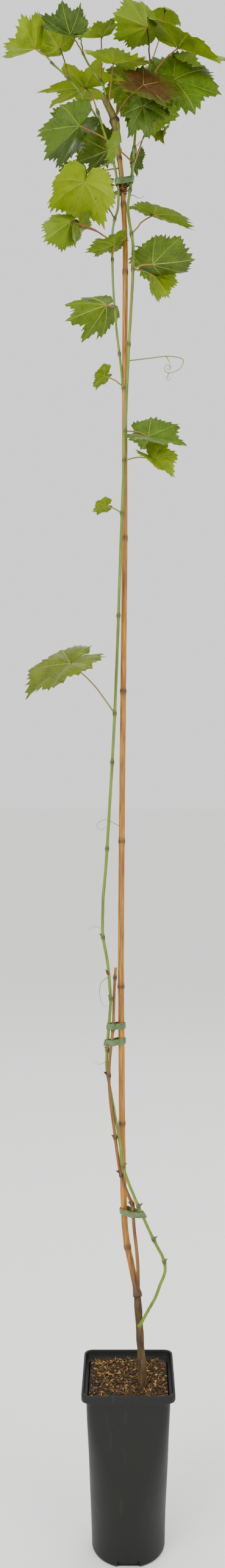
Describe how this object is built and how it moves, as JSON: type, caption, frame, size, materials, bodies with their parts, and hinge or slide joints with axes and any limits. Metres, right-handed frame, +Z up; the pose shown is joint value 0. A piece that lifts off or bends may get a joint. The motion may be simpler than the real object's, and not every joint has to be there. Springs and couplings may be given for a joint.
{
  "type": "potted grapevine",
  "caption": "Young grapevine trained straight up as a tall slender climber, with taped stems and a crown of lobed leaves, rooted in a square-mouthed nursery pot.",
  "frame": {"origin": "centre of the pot's flat underside", "axes": "+Z up along the vine, +X to the right and +Y away when the plant is seen from its front"},
  "size_m": [0.296, 0.201, 2.0803],
  "materials": {
    "pot": "dusty charcoal polypropylene",
    "compost": "loose bark and fibre mulch",
    "bark": "fissured brown bark",
    "ripe_cane": "ripened orange-brown cane",
    "green_shoot": "soft green shoot",
    "tie": "grey-green tying tape",
    "leaf_pale": "yellow-green leaf, light through it",
    "leaf_green": "mid-green leaf",
    "leaf_dark": "dark green leaf",
    "leaf_bronze": "bronzed leaf"
  },
  "bodies": {
    "root": {"pot": "pot", "soil": "compost", "trunk": "bark", "main_cane": "ripe_cane", "pruned_stub": "bark", "ripe_shoot": "ripe_cane", "green_shoot": "green_shoot", "right_shoot": "green_shoot", "left_shoot": "green_shoot", "top_left_shoot": "green_shoot", "far_left_shoot": "green_shoot", "tie_top": "tie", "tie_upper": "tie", "tie_middle": "tie", "tie_lower": "tie", "leaves_far_left": "leaf_pale", "leaves_top_left_back": "leaf_pale", "leaves_top_left_tip": "leaf_dark", "leaves_top_inner": "leaf_pale", "leaves_top_middle": "leaf_green", "leaves_top_right": "leaf_pale", "leaves_upper_middle": "leaf_pale", "leaves_right": "leaf_green", "leaves_bronze": "leaf_bronze", "leaves_left_lobed": "leaf_pale", "leaves_lower_left": "leaf_dark", "leaves_centre_left": "leaf_dark", "leaves_centre_front": "leaf_green", "leaves_centre_right": "leaf_dark", "leaves_small_right": "leaf_dark", "leaves_pale_left": "leaf_pale", "leaves_pale_inner": "leaf_green", "leaves_low_left": "leaf_green", "leaves_under_left": "leaf_green", "leaves_mid_right": "leaf_green", "leaves_low_right": "leaf_dark", "leaves_cane_upper": "leaf_green", "leaves_cane_small": "leaf_pale", "leaves_cane_right": "leaf_green", "leaves_cane_middle": "leaf_pale", "leaves_cane_lower": "leaf_pale", "leaves_hanging": "leaf_pale", "leaves_back_right": "leaf_green", "leaves_back_top": "leaf_pale", "leaves_back_left": "leaf_green", "leaves_back_centre": "leaf_green", "leaves_back_low": "leaf_dark", "leaves_back_low_right": "leaf_green"}
  },
  "joints": []
}
